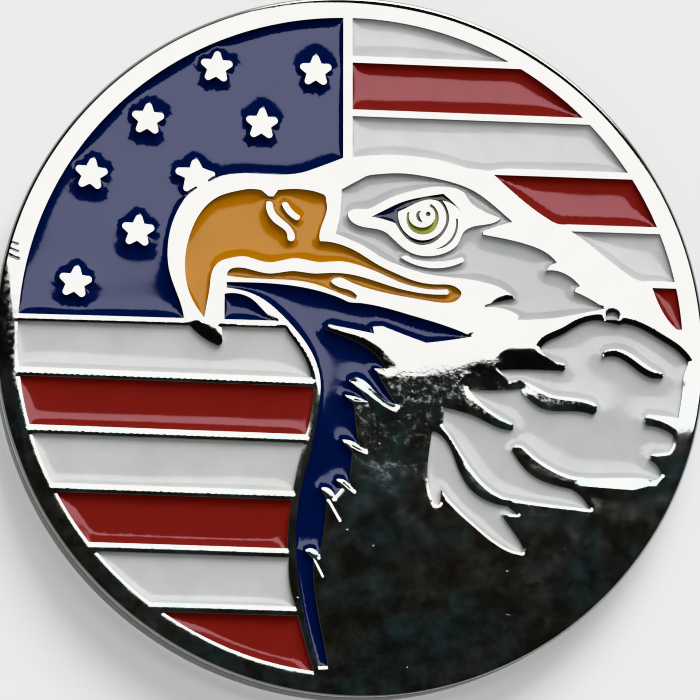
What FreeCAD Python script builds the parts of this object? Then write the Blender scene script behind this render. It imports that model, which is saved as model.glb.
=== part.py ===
import FreeCAD, Part
import math
import os
import Sketcher

# Golf ball marker: a die-struck, nickel-plated steel disc with a raised rim and raised metal
# lines, and soft enamel poured into each recess between the lines.
# Frame: millimetres, origin at the centre of the flat back, +Z out of the decorated face,
# +Y towards the top of the design.

os.makedirs("parts", exist_ok=True)

SIZES = (
    ("disc_diameter", 25.0),
    ("disc_thickness", 1.5),
    ("edge_rounding", 0.15),
    ("rim_width", 0.8),  # from the outer wall to the recessed field
    ("recess_depth", 0.35),
    ("fill_depth", 0.20),  # thickness of the enamel, which stays below the metal lines
    # The artwork is drawn on a field of this radius, and grows or shrinks with the real field.
    ("drawn_radius", 11.7),
    ("line_width", 0.25),  # metal line between two stripes
    ("lower_first_line", 0.45),
    ("lower_pitch", 2.0),
    ("lower_extra", 0.06),  # how much wider the lines between the lower stripes are
    ("lower_slope", 0.0135),  # how steeply those lines run down to the right
    ("upper_last_line", 2.27),
    ("upper_pitch", 1.975),
    ("canton_side", -0.42),  # x of the canton's straight right side
    ("stripes_side", -0.08),  # x where the upper stripes start
    ("star_reach", 0.46),  # from a star's centre to the centre of each rounded tip
    ("star_tip_radius", 0.13),
    ("star_valley", 0.35),
)

doc = FreeCAD.newDocument("ball_marker")
sheet = doc.addObject("Spreadsheet::Sheet", "Sheet")
for row, (alias, number) in enumerate(SIZES, start=1):
    sheet.set(f"A{row}", alias)
    sheet.set(f"B{row}", str(number))
    sheet.setAlias(f"B{row}", alias)
doc.recompute()
size = {alias: float(sheet.get(alias)) for alias, _ in SIZES}

DRAWN = size["drawn_radius"]
HALF_LINE = size["line_width"] / 2
FIELD_RADIUS = size["disc_diameter"] / 2 - size["rim_width"]
ART_SCALE = FIELD_RADIUS / DRAWN

# ------------------------------------------------------------------ outlines
# An outline is a closed list of points in drawn millimetres. A plain point is a corner.
# A point marked BEND lies on the smooth curve between the corners beside it.
# A point marked RIM is a corner that is reached along the circle of the field.
BEND = "bend"
RIM = "rim"


def rim_x(y):
    return math.sqrt(DRAWN**2 - y**2)


def rim_y(x):
    return math.sqrt(DRAWN**2 - x**2)


def around(centre, radius, degrees):
    """The point at a radius and angle from a centre."""
    angle = math.radians(degrees)
    return (centre[0] + radius * math.cos(angle), centre[1] + radius * math.sin(angle))


def curve(points):
    """The straight line, arc or smooth curve through the points."""
    places = [FreeCAD.Vector(x * ART_SCALE, y * ART_SCALE, 0) for x, y in points]
    if len(places) == 2:
        return Part.LineSegment(*places)
    if len(places) == 3:
        return Part.Arc(*places)
    spline = Part.BSplineCurve()
    spline.interpolate(places)
    return spline


def rim_curve(start, end):
    """The shorter arc of the field's circle from start to end."""
    first = math.degrees(math.atan2(start[1], start[0]))
    last = math.degrees(math.atan2(end[1], end[0]))
    middle = first + math.remainder(last - first, 360) / 2
    return curve([start, around((0, 0), DRAWN, middle), end])


def outline_curves(outline):
    """The lines and curves of one closed outline, end to end, back to its first point."""
    made = []
    run = [outline[0][:2]]
    for x, y, *kind in outline[1:] + outline[:1]:
        if kind == [RIM]:
            made.append(rim_curve(run[0], (x, y)))
            run = [(x, y)]
            continue
        run.append((x, y))
        if not kind:
            made.append(curve(run))
            run = [(x, y)]
    return made


# ------------------------------------------------------------------ the flag
STARS = (
    # centre, turn in degrees
    ((-4.93, 9.68), -3),
    ((-1.40, 9.68), 0),
    ((-7.33, 7.68), -3),
    ((-3.31, 7.66), -2),
    ((-9.28, 5.62), -6),
    ((-7.62, 3.63), -4),
    ((-9.76, 1.74), -6),
)


def star(centre, turn):
    """A plump five-pointed star: each tip is an arc, and straight sides run to the valleys."""
    side_of_tip = 75  # degrees of each tip's arc on either side of its point
    outline = []
    for direction in range(90, 450, 72):
        tip = around(centre, size["star_reach"], direction + turn)
        outline.append(around(tip, size["star_tip_radius"], direction + turn - side_of_tip))
        outline.append((*around(tip, size["star_tip_radius"], direction + turn), BEND))
        outline.append(around(tip, size["star_tip_radius"], direction + turn + side_of_tip))
        outline.append(around(centre, size["star_valley"], direction + turn + 36))
    return outline


def canton():
    """The blue field. Its lower right side follows the head, and one more star joins the head."""
    foot = size["lower_first_line"] + HALF_LINE
    side = size["canton_side"]
    return [
        (-rim_x(foot), foot, RIM),
        (-5.98, foot),
        (-6.18, 1.30, BEND),
        (-6.50, 2.20, BEND),
        (-6.58, 3.00, BEND),
        (-6.46, 3.85, BEND),
        (-6.20, 4.52, BEND),
        (-5.93, 4.95),
        (-5.57, 5.25),
        (-5.60, 5.31),
        (-5.84, 5.16),
        (-6.00, 5.13, BEND),
        (-6.06, 5.25),
        (-6.00, 5.60),
        (-6.24, 5.70),
        (-6.34, 5.84, BEND),
        (-6.25, 5.97),
        (-5.84, 5.98),
        (-5.78, 6.20),
        (-5.64, 6.29, BEND),
        (-5.50, 6.20),
        (-5.38, 5.98),
        (-5.03, 5.85),
        (-4.94, 5.76, BEND),
        (-5.03, 5.68),
        (-5.20, 5.55),
        (-5.18, 5.48),
        (-4.78, 5.70),
        (-4.20, 5.82, BEND),
        (-3.40, 5.84, BEND),
        (-1.78, 5.97),
        (-1.20, 6.20, BEND),
        (side, 6.53),
        (side, rim_y(side)),
    ]


def stripe(top, foot, left, right, top_edge=()):
    """A stripe between two heights. Each side is RIM, or three things: its x at the top, the
    points between from the top down, and its x at the foot."""
    outline = [(-rim_x(top), top, RIM)] if left == RIM else [(left[0], top)]
    outline += top_edge
    if right == RIM:
        outline += [(rim_x(top), top), (rim_x(foot), foot, RIM)]
    else:
        outline += [(right[0], top), *right[1], (right[2], foot)]
    if left == RIM:
        return outline + [(-rim_x(foot), foot)]
    return outline + [(left[2], foot), *reversed(left[1])]


# Where each lower stripe ends against the neck, from the canton down.
NECK_SIDES = (
    (-2.46, [(-2.02, -0.27, BEND), (-1.66, -0.90, BEND)], -1.53),
    (-1.44, [(-1.50, -2.40, BEND)], -1.71),
    (-1.78, [(-1.99, -4.50, BEND)], -2.15),
    (-2.18, [(-2.31, -6.55, BEND)], -2.34),
    (-2.29, [(-2.25, -8.60, BEND)], -2.05),
)


def slope_drop(x):
    """How far the sloping lines between the lower stripes lie below their height at mid length."""
    return size["lower_slope"] * (x + 6)


def sloped(outline, level_top=None):
    """A lower stripe's outline with sloping lines. An upper side at level_top stays level."""
    foot = min(point[1] for point in outline)
    made = []
    for x, y, *kind in outline:
        on_rim = math.isclose(math.hypot(x, y), DRAWN)
        share = 1 if level_top is None else (level_top - y) / (level_top - foot)
        y -= slope_drop(x) * share
        made.append((-rim_x(y) if on_rim else x, y, *kind))
    return made


def lower_stripes():
    """Five whole stripes left of the neck, from the canton down, and the last one on the rim."""
    made = []
    first_line = size["lower_first_line"]
    for number, neck_side in enumerate(NECK_SIDES):
        line = first_line - size["lower_pitch"] * number
        top = line - HALF_LINE
        foot = line - size["lower_pitch"] + HALF_LINE + size["lower_extra"]
        # The tip of the hooked beak hangs into the first stripe.
        beak_tip = [
            (-5.78, top),
            (-5.35, -0.06, BEND),
            (-4.86, -0.33),
            (-4.68, -0.30, BEND),
            (-4.64, -0.12),
            (-4.66, top),
        ]
        if number == 0:
            made.append(sloped(stripe(top, foot, RIM, neck_side, beak_tip), top))
        else:
            made.append(sloped(stripe(top, foot, RIM, neck_side)))
    top = first_line - size["lower_pitch"] * len(NECK_SIDES) - HALF_LINE
    left = top - slope_drop(-rim_x(top))
    made.append(
        [
            (-rim_x(left), left, RIM),
            (-1.96, top - slope_drop(-1.96)),
            (-1.77, -10.45, BEND),
            (-1.42, -rim_y(-1.42)),
        ]
    )
    return made


def upper_stripes():
    """The stripes right of the canton, from the rim down. The lower ones start on the head."""
    lines = [size["upper_last_line"] + size["upper_pitch"] * k for k in (4, 3, 2, 1, 0)]
    tops = [line - HALF_LINE for line in lines]
    feet = [line + HALF_LINE for line in lines]
    side = size["stripes_side"]
    crown = [
        (side, 6.57),
        (0.50, 6.64, BEND),
        (1.50, 6.70, BEND),
        (2.60, 6.62, BEND),
        (3.40, 6.48, BEND),
        (3.95, 6.32, BEND),
        (4.40, 6.28),
        (4.78, 6.23),
        (5.05, 6.29, BEND),
    ]
    nape = [(5.62, 5.52, BEND), (6.30, 4.96, BEND), (6.95, 4.52), (7.25, 4.38, BEND)]
    neck = [(8.75, 3.38, BEND), (9.75, 2.62, BEND), (10.10, 2.42, BEND)]
    shoulder = [(10.95, 1.38, BEND), (11.20, 0.98, BEND)]
    shoulder_foot = 0.66
    return [
        [(side, feet[0]), (side, rim_y(side)), (rim_x(feet[0]), feet[0], RIM)],
        stripe(tops[0], feet[1], (side, [], side), RIM),
        stripe(tops[1], feet[2], (side, crown, 5.60), RIM),
        stripe(tops[2], feet[3], (4.98, nape, 7.60), RIM),
        stripe(tops[3], feet[4], (7.74, neck, 10.55), RIM),
        stripe(tops[4], shoulder_foot, (10.64, shoulder, 11.50), RIM),
    ]


# ------------------------------------------------------------------ the eagle
def chin():
    """The blue gap between the beak's hook and the throat, down to the canton's lower line."""
    foot = size["lower_first_line"] + HALF_LINE
    return [
        (-4.57, 1.48),
        (-4.10, 1.50, BEND),
        (-3.65, 1.34, BEND),
        (-3.30, 1.02, BEND),
        (-2.78, foot),
        (-4.57, foot),
    ]


THROAT = [
    # the blue strip under the beak and down the front of the neck
    (-4.50, 1.90),
    (-3.00, 1.90, BEND),
    (-1.50, 1.73, BEND),
    (-0.20, 1.31),
    (0.70, 1.22, BEND),
    (2.00, 0.90, BEND),
    (3.30, 0.53, BEND),
    (4.15, 0.20),
    (3.40, 0.06, BEND),
    (2.52, -0.07),
    (1.80, 0.18, BEND),
    (1.00, 0.48),
    (0.62, 0.46),
    (0.68, 0.21),
    (-0.20, 0.37, BEND),
    (-0.88, 0.48),
    (-1.01, 0.36, BEND),
    (-0.88, 0.26),
    (0.00, -0.08, BEND),
    (0.80, -0.62, BEND),
    (1.06, -1.02),
    (0.66, -1.03),
    (0.78, -1.18),
    (1.10, -1.75, BEND),
    (1.44, -2.28),
    (1.08, -2.17, BEND),
    (0.60, -1.72, BEND),
    (0.08, -1.38, BEND),
    (-0.22, -1.48),
    (0.16, -1.80, BEND),
    (0.46, -2.22),
    (0.00, -2.05, BEND),
    (-0.38, -2.00),
    (-0.02, -2.30),
    (0.02, -3.00, BEND),
    (0.16, -3.78),
    (-0.12, -3.62, BEND),
    (-0.48, -3.58),
    (-0.08, -3.98),
    (-0.16, -4.60, BEND),
    (-0.20, -5.14),
    (-0.40, -4.98, BEND),
    (-0.66, -4.97),
    (-0.44, -5.24),
    (-0.70, -5.56),
    (-0.90, -5.30, BEND),
    (-1.18, -5.28),
    (-0.98, -5.66),
    (-1.05, -6.40, BEND),
    (-1.24, -7.62),
    (-1.46, -7.40, BEND),
    (-1.74, -7.46),
    (-1.44, -7.76),
    (-1.40, -8.80, BEND),
    (-1.18, -10.10, BEND),
    (-0.94, -11.42),
    (-1.24, -11.44),
    (-1.48, -10.70, BEND),
    (-1.87, -9.00, BEND),
    (-2.03, -7.30, BEND),
    (-1.92, -5.60, BEND),
    (-1.52, -4.00, BEND),
    (-1.28, -2.60, BEND),
    (-1.22, -1.40, BEND),
    (-1.52, -0.50, BEND),
    (-2.05, 0.25, BEND),
    (-2.70, 0.92, BEND),
    (-3.35, 1.40, BEND),
    (-3.80, 1.58, BEND),
    (-4.50, 1.70),
]

BEAK = [
    # the upper beak, round the mouth's corner and back along the lower beak
    (-5.28, 0.62),
    (-5.55, 1.00, BEND),
    (-5.80, 1.50, BEND),
    (-5.95, 2.20, BEND),
    (-5.93, 3.00, BEND),
    (-5.72, 3.80, BEND),
    (-5.30, 4.55, BEND),
    (-4.80, 4.97, BEND),
    (-4.20, 5.18, BEND),
    (-3.75, 5.27, BEND),
    (-3.32, 5.25),
    (-3.05, 5.03),
    (-2.88, 5.03),
    (-2.72, 5.27),
    (-2.00, 5.33, BEND),
    (-1.45, 5.27, BEND),
    (-1.12, 5.17),
    (-1.05, 5.10, BEND),
    (-1.03, 4.95),
    (-1.10, 4.25, BEND),
    (-1.26, 3.70, BEND),
    (-1.24, 3.47),
    (-0.75, 3.43, BEND),
    (0.00, 3.17, BEND),
    (0.75, 2.72, BEND),
    (1.50, 2.37, BEND),
    (2.20, 2.12, BEND),
    (3.00, 2.04, BEND),
    (3.50, 2.00, BEND),
    (3.77, 1.75, BEND),
    (3.58, 1.48, BEND),
    (3.10, 1.39, BEND),
    (2.30, 1.48, BEND),
    (1.20, 1.66, BEND),
    (0.40, 1.84, BEND),
    (-0.25, 2.08, BEND),
    (-0.62, 2.18, BEND),
    (-0.84, 2.05, BEND),
    (-0.66, 1.88, BEND),
    (-0.30, 1.77, BEND),
    (0.07, 1.54),
    (0.02, 1.43),
    (-0.50, 1.60, BEND),
    (-1.10, 1.83, BEND),
    (-1.80, 2.00, BEND),
    (-2.60, 2.05, BEND),
    (-3.50, 2.06, BEND),
    (-4.50, 2.14),
    (-4.38, 2.36, BEND),
    (-4.12, 2.43, BEND),
    (-3.70, 2.38, BEND),
    (-3.00, 2.25, BEND),
    (-2.20, 2.36, BEND),
    (-1.50, 2.30, BEND),
    (-0.80, 2.34, BEND),
    (0.00, 2.28, BEND),
    (0.75, 2.08, BEND),
    (1.50, 1.86, BEND),
    (2.30, 1.71, BEND),
    (3.20, 1.68),
    (3.33, 1.77, BEND),
    (3.20, 1.87),
    (2.30, 1.90, BEND),
    (1.60, 2.08, BEND),
    (0.80, 2.42, BEND),
    (0.10, 2.66, BEND),
    (-0.50, 2.77, BEND),
    (-1.30, 2.72, BEND),
    (-2.10, 2.83, BEND),
    (-3.10, 2.66, BEND),
    (-3.90, 2.84, BEND),
    (-4.40, 2.77, BEND),
    (-4.80, 2.60, BEND),
    (-5.02, 2.25, BEND),
    (-5.10, 1.70, BEND),
    (-5.20, 1.10, BEND),
]
NOSTRIL_LINE = [
    (-3.13, 4.84),
    (-2.98, 4.84, BEND),
    (-2.89, 4.70),
    (-2.78, 4.42, BEND),
    (-2.40, 4.08, BEND),
    (-2.14, 3.72, BEND),
    (-2.12, 3.55),
    (-2.25, 3.43, BEND),
    (-2.39, 3.55),
    (-2.46, 3.80, BEND),
    (-2.80, 4.05, BEND),
    (-3.05, 4.34, BEND),
]
NOSTRIL = [
    (-2.60, 4.78),
    (-2.46, 4.85, BEND),
    (-2.34, 4.76),
    (-2.18, 4.54, BEND),
    (-1.95, 4.37),
    (-1.98, 4.23, BEND),
    (-2.14, 4.23),
    (-2.42, 4.46, BEND),
]

FACE = [
    # the grey skin round the eye, down to the feathered cheek
    (-0.47, 5.37),
    (-0.15, 5.56, BEND),
    (0.45, 5.90),
    (1.00, 5.99, BEND),
    (1.60, 6.03, BEND),
    (2.40, 5.97, BEND),
    (3.40, 5.78, BEND),
    (4.20, 5.50, BEND),
    (4.80, 5.10, BEND),
    (5.62, 4.40),
    (5.20, 4.27, BEND),
    (4.56, 4.02),
    (4.56, 3.90),
    (5.40, 3.76, BEND),
    (6.30, 3.54, BEND),
    (6.90, 3.26, BEND),
    (7.20, 2.96),
    (6.96, 2.86),
    (6.82, 2.66),
    (7.20, 2.66, BEND),
    (7.65, 2.48, BEND),
    (8.02, 2.14),
    (7.86, 2.06),
    (7.84, 1.92),
    (8.30, 1.72, BEND),
    (8.90, 1.34),
    (8.20, 1.18, BEND),
    (7.20, 0.97, BEND),
    (6.40, 0.88, BEND),
    (5.78, 0.85),
    (5.82, 1.00),
    (5.45, 1.18, BEND),
    (4.60, 1.27),
    (4.62, 1.35),
    (5.20, 1.52, BEND),
    (5.70, 1.62),
    (5.20, 1.97, BEND),
    (4.40, 2.20, BEND),
    (3.30, 2.32, BEND),
    (2.40, 2.44, BEND),
    (1.60, 2.68, BEND),
    (1.00, 2.92, BEND),
    (0.40, 3.30, BEND),
    (-0.10, 3.53, BEND),
    (-0.68, 3.76),
    (-0.53, 4.40, BEND),
    (-0.48, 4.90, BEND),
]
EYE_OUTLINE = [
    # the metal almond round the eye
    (-0.25, 4.55),
    (-0.15, 4.63, BEND),
    (0.40, 4.69, BEND),
    (0.85, 4.90, BEND),
    (1.30, 5.15, BEND),
    (2.00, 5.40, BEND),
    (2.80, 5.58, BEND),
    (3.50, 5.57, BEND),
    (3.92, 5.38, BEND),
    (4.10, 5.10, BEND),
    (4.45, 4.82, BEND),
    (5.22, 4.52),
    (4.90, 4.32, BEND),
    (4.20, 4.17, BEND),
    (3.88, 3.97, BEND),
    (3.68, 3.55, BEND),
    (3.30, 3.23, BEND),
    (2.60, 3.05, BEND),
    (2.00, 3.15, BEND),
    (1.50, 3.50, BEND),
    (1.18, 3.80),
    (0.65, 3.99, BEND),
    (0.10, 4.09, BEND),
    (-0.22, 4.35, BEND),
]
UNDER_EYE_LINE = [
    (1.62, 2.97),
    (1.76, 3.05, BEND),
    (2.00, 2.95),
    (2.70, 2.86, BEND),
    (3.72, 3.03),
    (3.87, 2.96, BEND),
    (3.78, 2.85),
    (2.75, 2.62, BEND),
]
EYELID = [
    # the dark lid, which runs on round the iris
    (0.60, 4.42),
    (1.15, 4.72, BEND),
    (1.60, 4.95, BEND),
    (2.40, 5.19, BEND),
    (3.15, 5.34),
    (3.45, 5.08, BEND),
    (3.80, 4.70),
    (3.40, 5.01, BEND),
    (3.10, 5.10),
    (3.30, 4.76, BEND),
    (3.35, 4.40, BEND),
    (3.18, 3.95, BEND),
    (2.80, 3.57, BEND),
    (2.40, 3.45, BEND),
    (1.95, 3.58, BEND),
    (1.62, 3.92, BEND),
    (1.44, 4.21),
    (1.05, 4.33, BEND),
]
IRIS_DISC = [
    (1.54, 4.64),
    (2.00, 4.88, BEND),
    (2.62, 5.11, BEND),
    (2.98, 5.06),
    (3.22, 4.72, BEND),
    (3.24, 4.30, BEND),
    (3.05, 3.93, BEND),
    (2.72, 3.69, BEND),
    (2.32, 3.62, BEND),
    (1.92, 3.77, BEND),
    (1.62, 4.13, BEND),
]
IRIS = [
    # the yellow-green crescent
    (1.88, 4.62),
    (1.84, 4.32, BEND),
    (2.02, 3.97, BEND),
    (2.40, 3.83, BEND),
    (2.76, 3.96, BEND),
    (2.96, 4.30, BEND),
    (2.94, 4.68, BEND),
    (2.70, 4.95),
    (2.66, 4.86),
    (2.86, 4.58, BEND),
    (2.74, 4.24, BEND),
    (2.40, 4.08, BEND),
    (2.06, 4.18, BEND),
    (1.94, 4.62),
]
PUPIL_CURL = [
    (2.36, 4.68),
    (2.21, 4.62, BEND),
    (2.20, 4.42, BEND),
    (2.41, 4.28),
    (2.31, 4.44, BEND),
    (2.29, 4.58, BEND),
]
PUPIL_DOT = [
    (2.53, 4.58),
    (2.61, 4.66, BEND),
    (2.69, 4.58),
    (2.61, 4.50, BEND),
]
EYE_CREASE = [
    (3.60, 4.44),
    (3.66, 4.44),
    (3.62, 3.95, BEND),
    (3.42, 3.60, BEND),
    (2.86, 3.32),
    (3.32, 3.60, BEND),
    (3.54, 3.95, BEND),
]

NAPE_BEAD = [
    (8.92, 0.96),
    (9.15, 1.23, BEND),
    (9.42, 0.97),
]
FEATHERS = [
    # the big grey area of the neck feathers, whose metal lines run in from its edges
    (6.56, -0.18),
    (6.72, 0.02, BEND),
    (7.30, 0.34, BEND),
    (7.90, 0.70, BEND),
    (8.60, 0.92, BEND),
    (8.88, 0.88),
    (9.38, 0.78),
    (9.62, 0.83),
    (10.20, 0.66, BEND),
    (10.90, 0.27, BEND),
    (11.45, -0.08, BEND),
    (11.88, -0.55),
    (11.70, -1.02),
    (11.62, -1.75, BEND),
    (11.48, -2.52),
    (10.38, -2.43),
    (10.26, -2.60, BEND),
    (10.34, -2.82),
    (10.85, -2.92, BEND),
    (11.26, -3.14),
    (11.28, -3.42, BEND),
    (11.08, -3.76),
    (10.55, -3.84),
    (10.42, -3.95, BEND),
    (10.50, -4.10),
    (10.74, -4.35, BEND),
    (10.82, -4.60),
    (10.60, -4.78),
    (9.60, -4.70, BEND),
    (8.50, -4.74, BEND),
    (7.60, -4.67),
    (6.90, -4.38, BEND),
    (6.20, -3.90, BEND),
    (5.92, -3.68, BEND),
    (5.66, -3.64, BEND),
    (5.50, -3.80),
    (5.76, -4.20, BEND),
    (6.20, -4.66, BEND),
    (6.90, -4.98, BEND),
    (7.60, -5.14),
    (7.95, -5.40, BEND),
    (8.26, -5.84),
    (7.40, -5.76, BEND),
    (6.20, -5.63, BEND),
    (5.30, -5.50),
    (4.70, -5.16, BEND),
    (4.15, -4.58, BEND),
    (3.60, -3.75, BEND),
    (3.10, -3.00),
    (3.14, -2.36),
    (4.00, -2.57, BEND),
    (4.75, -2.90),
    (5.20, -3.07, BEND),
    (5.48, -3.11),
    (5.60, -2.98, BEND),
    (5.50, -2.84),
    (4.80, -2.44, BEND),
    (4.30, -2.02, BEND),
    (4.00, -1.66),
    (4.90, -1.70, BEND),
    (5.84, -1.62),
    (6.12, -1.98, BEND),
    (6.65, -2.32, BEND),
    (7.40, -2.38, BEND),
    (8.38, -2.48),
    (8.58, -2.26, BEND),
    (8.46, -2.05),
    (7.80, -1.91, BEND),
    (6.95, -1.80, BEND),
    (6.35, -1.52, BEND),
    (5.84, -1.28),
    (5.48, -1.38),
    (5.08, -0.96),
    (6.20, -0.92, BEND),
    (7.30, -0.94),
    (7.47, -0.80, BEND),
    (7.40, -0.68),
    (6.95, -0.54, BEND),
]
FEATHER_LINE = [
    # a metal line that stands alone among the feathers
    (8.80, -0.42),
    (8.80, -0.24),
    (9.30, -0.10, BEND),
    (9.85, -0.27, BEND),
    (10.40, -0.66, BEND),
    (10.92, -0.92),
    (10.98, -1.04, BEND),
    (10.88, -1.12),
    (10.58, -1.12),
    (9.95, -0.78, BEND),
    (9.40, -0.42, BEND),
]
FEATHER_LOW = [
    # the lowest feather, with a short tip at its left and a tooth at its right
    (2.72, -3.20),
    (3.08, -3.40, BEND),
    (3.36, -3.82, BEND),
    (3.66, -4.60, BEND),
    (4.15, -5.32, BEND),
    (4.75, -5.66, BEND),
    (5.36, -5.80),
    (5.70, -6.08),
    (5.52, -6.07),
    (5.14, -6.08),
    (5.30, -6.36, BEND),
    (5.66, -6.86, BEND),
    (5.90, -7.30),
    (5.84, -7.42),
    (5.30, -7.26, BEND),
    (4.60, -6.80, BEND),
    (3.90, -6.20, BEND),
    (3.36, -5.66, BEND),
    (3.02, -5.24),
    (2.98, -5.74),
    (2.86, -5.80, BEND),
    (2.76, -5.68),
    (2.58, -5.10, BEND),
    (2.60, -4.00, BEND),
]

# ------------------------------------------------------------------ the fills
# Each fill is its outer outline and the outlines of the metal that stands inside it.
STRIPE_COLOURS = ("white", "red") * 3
FILLS = {"canton_blue": (canton(), [star(*place) for place in STARS])}
for number, outline in enumerate(lower_stripes()):
    FILLS[f"stripe_lower_{number + 1}_{STRIPE_COLOURS[number]}"] = (outline, [])
for number, outline in enumerate(upper_stripes()):
    FILLS[f"stripe_upper_{number + 1}_{STRIPE_COLOURS[number]}"] = (outline, [])
FILLS.update(
    {
        "chin_blue": (chin(), []),
        "throat_blue": (THROAT, []),
        "beak_orange": (BEAK, [NOSTRIL_LINE, NOSTRIL]),
        "face_grey": (FACE, [EYE_OUTLINE, UNDER_EYE_LINE]),
        "eyelid_dark": (EYELID, [IRIS_DISC]),
        "iris_yellow": (IRIS, []),
        "pupil_curl_dark": (PUPIL_CURL, []),
        "pupil_dot_dark": (PUPIL_DOT, []),
        "eye_crease_dark": (EYE_CREASE, []),
        "nape_bead_grey": (NAPE_BEAD, []),
        "feathers_grey": (FEATHERS, [FEATHER_LINE]),
        "feather_low_grey": (FEATHER_LOW, []),
    }
)


# ------------------------------------------------------------------ bodies
def new_body(label):
    body = doc.addObject("PartDesign::Body", label)
    body.Label = label
    return body


def new_sketch(body, name, height):
    """A sketch on the body's XY plane, lifted to a height given as an expression."""
    plane = next(item for item in body.Origin.OriginFeatures if item.Role == "XY_Plane")
    sketch = body.newObject("Sketcher::SketchObject", name)
    sketch.AttachmentSupport = [(plane, "")]
    sketch.MapMode = "FlatFace"
    sketch.setExpression(".AttachmentOffset.Base.z", height)
    return sketch


def draw(sketch, outlines):
    for outline in outlines:
        sketch.addGeometry(outline_curves(outline), False)


def struck_disc():
    """The steel blank: a round plate with rounded edges, then one recess under every fill."""
    body = new_body("struck_disc")
    blank_sketch = new_sketch(body, "blank_outline", "0 mm")
    origin = FreeCAD.Vector(0, 0, 0)
    up = FreeCAD.Vector(0, 0, 1)
    circle = blank_sketch.addGeometry(Part.Circle(origin, up, size["disc_diameter"] / 2), False)
    radius = blank_sketch.addConstraint(
        Sketcher.Constraint("Radius", circle, size["disc_diameter"] / 2)
    )
    blank_sketch.addConstraint(Sketcher.Constraint("Coincident", circle, 3, -1, 1))
    blank_sketch.setExpression(f"Constraints[{radius}]", "Sheet.disc_diameter / 2")
    blank = body.newObject("PartDesign::Pad", "blank")
    blank.Profile = blank_sketch
    blank.setExpression("Length", "Sheet.disc_thickness")
    doc.recompute()

    edges = body.newObject("PartDesign::Fillet", "rounded_edges")
    round_edges = [
        f"Edge{index}"
        for index, edge in enumerate(blank.Shape.Edges, start=1)
        if isinstance(edge.Curve, Part.Circle)
    ]
    edges.Base = (blank, round_edges)
    edges.setExpression("Radius", "Sheet.edge_rounding")
    doc.recompute()
    volume_before = edges.Shape.Volume

    recess_sketch = new_sketch(body, "recess_outlines", "Sheet.disc_thickness")
    for outer, islands in FILLS.values():
        draw(recess_sketch, [outer, *islands])
    recesses = body.newObject("PartDesign::Pocket", "recesses")
    recesses.Profile = recess_sketch
    recesses.setExpression("Length", "Sheet.recess_depth")
    doc.recompute()
    if recesses.Shape.Volume > volume_before - 1:
        raise RuntimeError("the recesses cut nothing")
    return body


def enamel_fill(name, outer, islands):
    """One pour of enamel, wall to wall in its recess and resting on the recess floor."""
    body = new_body(name)
    sketch = new_sketch(body, f"{name}_outline", "Sheet.disc_thickness - Sheet.recess_depth")
    draw(sketch, [outer, *islands])
    fill = body.newObject("PartDesign::Pad", f"{name}_pour")
    fill.Profile = sketch
    fill.setExpression("Length", "Sheet.fill_depth")
    return body


bodies = [struck_disc()]
for fill_name, (outer, islands) in FILLS.items():
    bodies.append(enamel_fill(fill_name, outer, islands))
doc.recompute()

for item in doc.Objects:
    if "Invalid" in item.State or "Error" in item.State:
        raise RuntimeError(f"{item.Label} failed: {item.State}")
for body in bodies:
    if body.Shape.isNull() or not body.Shape.isValid() or len(body.Shape.Solids) != 1:
        raise RuntimeError(f"{body.Label} isn't one valid solid")
    body.Shape.exportStep(f"parts/{body.Label}.step")
print(len(bodies), "pieces")
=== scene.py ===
import math

import bpy
import numpy as np
from mathutils import Matrix, Vector, geometry, kdtree


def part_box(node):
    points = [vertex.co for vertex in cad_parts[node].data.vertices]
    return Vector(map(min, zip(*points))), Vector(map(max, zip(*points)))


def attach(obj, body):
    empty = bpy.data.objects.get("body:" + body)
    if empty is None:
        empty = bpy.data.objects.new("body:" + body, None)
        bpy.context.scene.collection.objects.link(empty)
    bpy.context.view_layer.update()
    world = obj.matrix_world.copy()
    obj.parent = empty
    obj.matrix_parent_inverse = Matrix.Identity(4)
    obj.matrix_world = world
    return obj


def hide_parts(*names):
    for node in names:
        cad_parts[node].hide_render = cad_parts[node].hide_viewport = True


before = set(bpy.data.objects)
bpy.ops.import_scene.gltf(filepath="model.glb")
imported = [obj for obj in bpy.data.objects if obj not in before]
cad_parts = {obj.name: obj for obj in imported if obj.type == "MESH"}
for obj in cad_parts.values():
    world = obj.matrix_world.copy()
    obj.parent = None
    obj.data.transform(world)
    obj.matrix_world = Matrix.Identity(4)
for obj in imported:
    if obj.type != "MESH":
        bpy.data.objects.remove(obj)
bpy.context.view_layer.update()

# The golf ball marker's finish: one struck, nickel-plated disc and one enamel fill per recess.
# Places are worked out in millimetres in the CAD frame and turned into metres when a mesh is
# made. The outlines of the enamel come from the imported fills, so every wall is where CAD has it.
MM = 0.001
DISC = "struck_disc"
FILLS = sorted(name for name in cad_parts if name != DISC)

DISC_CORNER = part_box(DISC)[1]
DISC_RADIUS = DISC_CORNER.x / MM
TOP = DISC_CORNER.z / MM
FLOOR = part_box("canton_blue")[0].z / MM
EDGE_ROUNDING = 0.15
FLAT_RADIUS = DISC_RADIUS - EDGE_ROUNDING

# ------------------------------------------------------------------ outlines
OUTLINE_STEP = 0.07  # the longest run between two points of an outline
CORNER = math.radians(20)  # a turn sharper than this is a corner
LEAST_MITRE = 0.35  # limits how far a sharp corner's point moves when an outline is offset
FLAT_TOP = 0.001  # places this little below a fill's highest one still count as its top


def unit(vectors):
    """The vectors at a length of 1. A vector of no length stays as it is."""
    return vectors / np.maximum(np.hypot(vectors[:, 0], vectors[:, 1]), 1e-12)[:, None]


def right_of(directions):
    """The directions turned a quarter turn to the right."""
    return np.column_stack([directions[:, 1], -directions[:, 0]])


def turns_of(before, after):
    """The signed angle from one direction to the next, positive to the left."""
    cross = before[:, 0] * after[:, 1] - before[:, 1] * after[:, 0]
    return np.arctan2(cross, (before * after).sum(1))


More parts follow.
